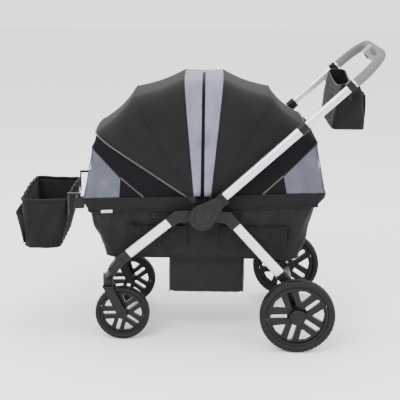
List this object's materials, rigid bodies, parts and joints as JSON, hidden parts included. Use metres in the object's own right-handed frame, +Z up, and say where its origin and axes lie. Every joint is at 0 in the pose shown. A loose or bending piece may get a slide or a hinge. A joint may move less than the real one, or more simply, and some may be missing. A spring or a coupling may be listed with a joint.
{
  "type": "kids pull wagon",
  "caption": "Folding stroller wagon with a fabric tub, two folding canopies, swivel front wheels, a flip-over telescopic push handle and a front basket.",
  "frame": {"origin": "on the ground under the middle of the bounding box", "axes": "+X towards the push handle, +Y towards the side that is far from a viewer who has the handle on the right, +Z up"},
  "size_m": [1.3268, 0.673, 1.1066],
  "materials": {
    "black_plastic": "matte moulded",
    "grey_plastic": "matte moulded",
    "tube": "satin anodised",
    "steel": "plated",
    "black_cloth": "woven polyester",
    "grey_cloth": "woven polyester",
    "visor_cloth": "smooth woven polyester",
    "mesh": "open knitted mesh",
    "pad": "quilted",
    "board": "pressed board",
    "foam": "matte foam",
    "tyre": "matte solid foam tyre"
  },
  "bodies": {
    "chassis": {"hub_castings": "black_plastic", "pivot_pins": "steel", "rim_rail": "tube", "tub_band": "black_cloth", "tub_body": "black_cloth", "foot_well": "black_cloth", "floor_boards": "board", "pad_front": "pad", "pad_rear": "pad", "hoops": "black_plastic", "end_wall_front": "grey_cloth", "end_wall_rear": "grey_cloth", "mesh_windows": "mesh", "basket_bracket": "tube", "end_bows": "steel"},
    "front_legs": {"front_elbows": "steel", "front_tubes": "tube", "front_knuckles": "black_plastic", "front_cross_tube": "black_plastic"},
    "rear_legs": {"rear_elbows": "steel", "rear_tubes": "tube", "rear_brackets": "black_plastic", "rear_axle": "steel"},
    "caster_left": {"caster_fork_left": "black_plastic"},
    "caster_right": {"caster_fork_right": "black_plastic"},
    "front_wheel_left": {"front_rim_left": "black_plastic", "front_tyre_left": "tyre"},
    "front_wheel_right": {"front_rim_right": "black_plastic", "front_tyre_right": "tyre"},
    "rear_wheel_left": {"rear_rim_left": "black_plastic", "rear_tyre_left": "tyre"},
    "rear_wheel_right": {"rear_rim_right": "black_plastic", "rear_tyre_right": "tyre"},
    "brake": {"brake_pedal": "black_plastic"},
    "brake_bolt_left": {"brake_pin_left": "steel"},
    "brake_bolt_right": {"brake_pin_right": "steel"},
    "handle_arms": {"handle_hubs": "black_plastic", "outer_tubes": "tube", "collars": "black_plastic"},
    "handle_slider": {"handle_loop": "tube", "grip_foam": "foam", "handle_clips": "black_plastic", "release_housing": "grey_plastic"},
    "button": {"release_button": "black_plastic"},
    "organizer": {"organizer_bag": "black_cloth", "organizer_rings": "black_plastic"},
    "canopy_mid_front": {"mid_bow_front": "steel", "end_panel_front": "black_cloth"},
    "canopy_top_front": {"top_bow_front": "steel", "mid_panel_front": "black_cloth"},
    "canopy_visor_front": {"visor_bow_front": "steel", "visor_panel_front": "visor_cloth"},
    "canopy_mid_rear": {"mid_bow_rear": "steel", "end_panel_rear": "black_cloth"},
    "canopy_top_rear": {"top_bow_rear": "steel", "mid_panel_rear": "black_cloth"},
    "canopy_visor_rear": {"visor_bow_rear": "steel", "visor_panel_rear": "visor_cloth"},
    "basket": {"basket_bag": "black_cloth", "basket_arms": "tube"}
  },
  "joints": [
    {"name": "frame_fold", "type": "hinge", "parent": "chassis", "child": "front_legs", "pos_m": [0.01065, 0, 0.503], "axis": [0, -1, 0], "range_deg": [0, 30]},
    {"name": "rear_leg_fold", "type": "hinge", "parent": "chassis", "child": "rear_legs", "pos_m": [0.01065, 0, 0.503], "axis": [0, -1, 0], "range_deg": [-30, 0]},
    {"name": "caster_left_swivel", "type": "hinge", "parent": "front_legs", "child": "caster_left", "pos_m": [-0.34135, -0.205, 0.203], "axis": [0, 0, 1], "continuous": true},
    {"name": "caster_right_swivel", "type": "hinge", "parent": "front_legs", "child": "caster_right", "pos_m": [-0.34135, 0.205, 0.203], "axis": [0, 0, 1], "continuous": true},
    {"name": "front_wheel_left_spin", "type": "hinge", "parent": "caster_left", "child": "front_wheel_left", "pos_m": [-0.28735, -0.205, 0.1035], "axis": [0, 1, 0], "continuous": true},
    {"name": "front_wheel_right_spin", "type": "hinge", "parent": "caster_right", "child": "front_wheel_right", "pos_m": [-0.28735, 0.205, 0.1035], "axis": [0, 1, 0], "continuous": true},
    {"name": "rear_wheel_left_spin", "type": "hinge", "parent": "rear_legs", "child": "rear_wheel_left", "pos_m": [0.36665, -0.314, 0.14], "axis": [0, 1, 0], "continuous": true},
    {"name": "rear_wheel_right_spin", "type": "hinge", "parent": "rear_legs", "child": "rear_wheel_right", "pos_m": [0.36665, 0.314, 0.14], "axis": [0, 1, 0], "continuous": true},
    {"name": "brake_press", "type": "hinge", "parent": "rear_legs", "child": "brake", "pos_m": [0.36665, 0, 0.14], "axis": [0, 1, 0], "range_deg": [0, 25]},
    {"name": "brake_bolt_left_slide", "type": "slide", "parent": "rear_legs", "child": "brake_bolt_left", "axis": [0, -1, 0], "range_m": [0, 0.006]},
    {"name": "brake_bolt_right_slide", "type": "slide", "parent": "rear_legs", "child": "brake_bolt_right", "axis": [0, 1, 0], "range_m": [0, 0.006]},
    {"name": "handle_flip", "type": "hinge", "parent": "chassis", "child": "handle_arms", "pos_m": [0.01065, 0, 0.503], "axis": [0, 1, 0], "range_deg": [-94, 0]},
    {"name": "handle_slide", "type": "slide", "parent": "handle_arms", "child": "handle_slider", "axis": [0.7349, 0, 0.6782], "range_m": [-0.06, 0.06]},
    {"name": "button_press", "type": "slide", "parent": "handle_slider", "child": "button", "axis": [0.7349, 0, 0.6782], "range_m": [0, 0.004], "stiffness_N_per_m": 800, "springref_m": -0.002},
    {"name": "organizer_swing", "type": "hinge", "parent": "handle_slider", "child": "organizer", "pos_m": [0.53464, 0, 0.97653], "axis": [0, 1, 0], "range_deg": [-15, 94]},
    {"name": "canopy_front_fold", "type": "hinge", "parent": "chassis", "child": "canopy_mid_front", "pos_m": [-0.02035, 0, 0.553], "axis": [0, -1, 0], "range_deg": [0, 18], "deforming": ["end_panel_front"]},
    {"name": "canopy_front_top_fold", "type": "hinge", "parent": "canopy_mid_front", "child": "canopy_top_front", "pos_m": [-0.02035, 0, 0.553], "axis": [0, -1, 0], "range_deg": [0, 18.1], "deforming": ["mid_panel_front"]},
    {"name": "canopy_front_visor_fold", "type": "hinge", "parent": "canopy_top_front", "child": "canopy_visor_front", "pos_m": [-0.02035, 0, 0.553], "axis": [0, -1, 0], "range_deg": [0, 3], "deforming": ["visor_panel_front"]},
    {"name": "canopy_rear_fold", "type": "hinge", "parent": "chassis", "child": "canopy_mid_rear", "pos_m": [0.04165, 0, 0.553], "axis": [0, 1, 0], "range_deg": [0, 14], "deforming": ["end_panel_rear"]},
    {"name": "canopy_rear_top_fold", "type": "hinge", "parent": "canopy_mid_rear", "child": "canopy_top_rear", "pos_m": [0.04165, 0, 0.553], "axis": [0, 1, 0], "range_deg": [0, 16.3], "deforming": ["mid_panel_rear"]},
    {"name": "canopy_rear_visor_fold", "type": "hinge", "parent": "canopy_top_rear", "child": "canopy_visor_rear", "pos_m": [0.04165, 0, 0.553], "axis": [0, 1, 0], "range_deg": [0, 3], "deforming": ["visor_panel_rear"]},
    {"name": "basket_lift", "type": "slide", "parent": "chassis", "child": "basket", "axis": [-0.0375, 0, 0.9993], "range_m": [0, 0.04]}
  ],
  "couplings": [
    {"joint": "rear_leg_fold", "follows": "frame_fold", "ratio": -1},
    {"joint": "brake_bolt_left_slide", "follows": "brake_press", "m_per_rad": 0.01375},
    {"joint": "brake_bolt_right_slide", "follows": "brake_press", "m_per_rad": 0.01375},
    {"joint": "canopy_front_top_fold", "follows": "canopy_front_fold", "ratio": 1},
    {"joint": "canopy_front_visor_fold", "follows": "canopy_front_fold", "ratio": 0.16},
    {"joint": "canopy_rear_top_fold", "follows": "canopy_rear_fold", "ratio": 1.15},
    {"joint": "canopy_rear_visor_fold", "follows": "canopy_rear_fold", "ratio": 0.2}
  ]
}
